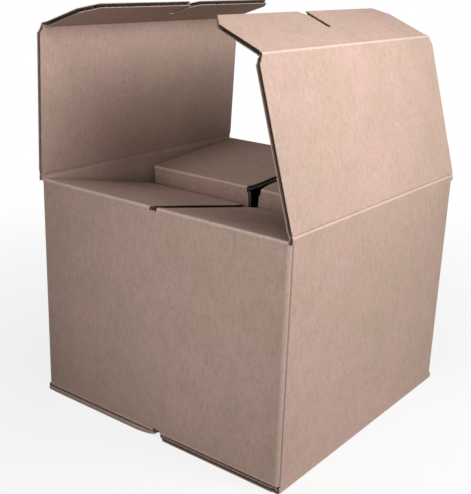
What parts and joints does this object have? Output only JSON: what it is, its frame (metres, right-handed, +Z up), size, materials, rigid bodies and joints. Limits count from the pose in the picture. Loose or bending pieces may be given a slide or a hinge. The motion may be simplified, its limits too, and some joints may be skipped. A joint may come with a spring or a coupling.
{
  "type": "open corrugated cardboard box",
  "caption": "Square corrugated cardboard box, standing open: slotted inner flaps folded in, outer flaps raised, tuck lips bent inward.",
  "frame": {"origin": "middle of the box's footprint, on the surface it stands on", "axes": "+X along the front wall to the right, +Y from the front wall to the back wall, +Z up"},
  "size_m": [0.27, 0.272, 0.3613],
  "materials": {
    "kraft_board": "uncoated brown kraft liner",
    "left_flap_board": "uncoated brown kraft liner",
    "left_lip_board": "uncoated brown kraft liner",
    "right_flap_board": "uncoated brown kraft liner",
    "right_lip_board": "uncoated brown kraft liner"
  },
  "bodies": {
    "carton": {"carton_body": "kraft_board"},
    "left_flap": {"left_flap": "left_flap_board"},
    "left_lip": {"left_lip": "left_lip_board"},
    "right_flap": {"right_flap": "right_flap_board"},
    "right_lip": {"right_lip": "right_lip_board"}
  },
  "joints": [
    {"name": "left_flap_hinge", "type": "hinge", "parent": "carton", "child": "left_flap", "pos_m": [-0.133, 0, 0.2115], "axis": [0, 1, 0], "range_deg": [-97.2, 87.8], "deforming": ["left_lip"]},
    {"name": "left_lip_hinge", "type": "hinge", "parent": "left_flap", "child": "left_lip", "pos_m": [-0.12801, 0, 0.3414], "axis": [0, 1, 0], "range_deg": [-23.26, 21.01]},
    {"name": "right_flap_hinge", "type": "hinge", "parent": "carton", "child": "right_flap", "pos_m": [0.133, 0, 0.2115], "axis": [0, -1, 0], "range_deg": [-111.4, 73.6], "deforming": ["right_lip"]},
    {"name": "right_lip_hinge", "type": "hinge", "parent": "right_flap", "child": "right_lip", "pos_m": [0.0963, 0, 0.33621], "axis": [0, -1, 0], "range_deg": [-59.04, 39.01]}
  ],
  "couplings": [
    {"joint": "left_lip_hinge", "follows": "left_flap_hinge", "ratio": 0.23918},
    {"joint": "right_lip_hinge", "follows": "right_flap_hinge", "ratio": 0.52989}
  ]
}
